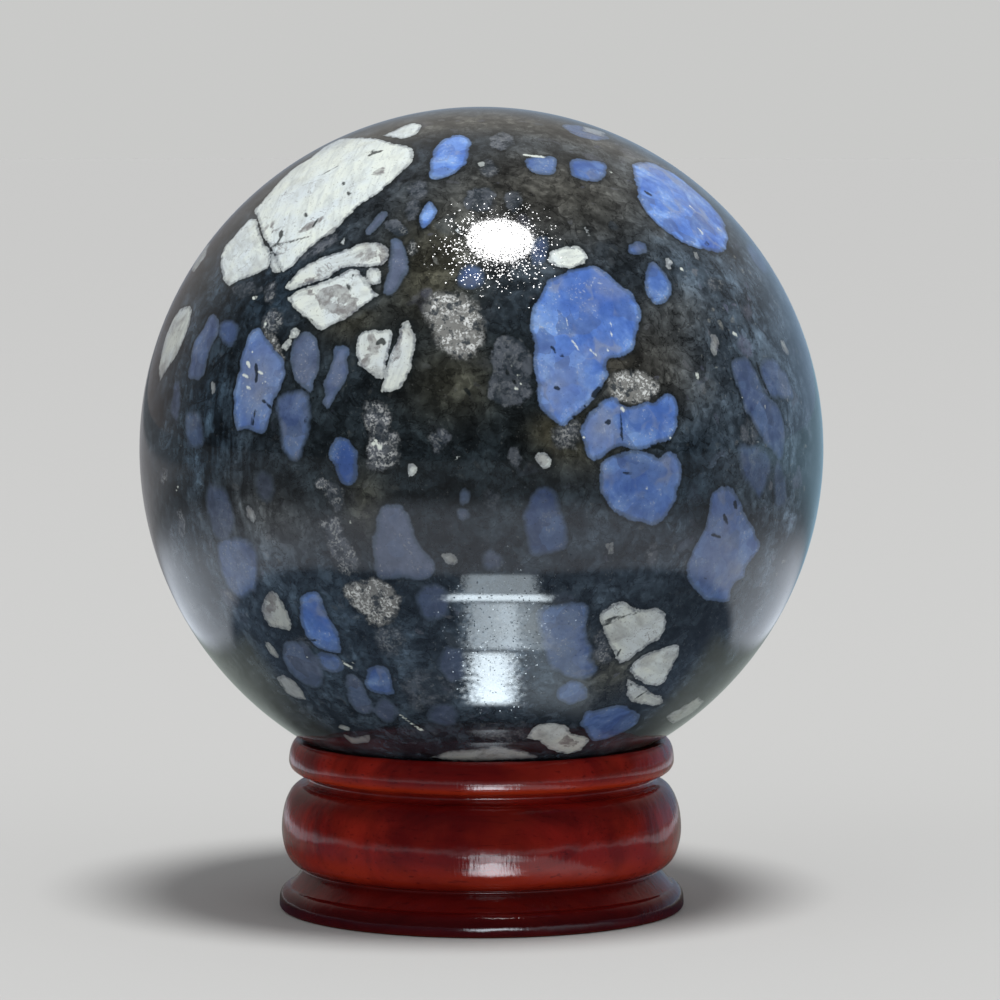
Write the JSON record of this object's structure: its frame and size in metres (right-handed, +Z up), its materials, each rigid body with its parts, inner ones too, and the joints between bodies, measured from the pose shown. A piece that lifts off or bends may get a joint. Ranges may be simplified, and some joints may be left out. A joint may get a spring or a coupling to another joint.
{
  "type": "decorative stone sphere on a ring stand",
  "caption": "Polished ball of dark stone with blue and pale inclusions, resting in the dished seat of a turned, red lacquered wooden ring stand.",
  "frame": {"origin": "centre of the underside of the ring stand, on the surface that it stands on", "axes": "+Z up along the common axis of the stand and the ball, +Y away from the viewer of the picture, +X to the viewer's right"},
  "size_m": [0.065, 0.065, 0.0763],
  "materials": {
    "polished_stone": "polished dark porphyry with blue, grey and pale inclusions",
    "lacquered_wood": "red-brown stain under gloss lacquer"
  },
  "bodies": {
    "root": {"stone_ball": "polished_stone", "ring_stand": "lacquered_wood"}
  },
  "joints": []
}
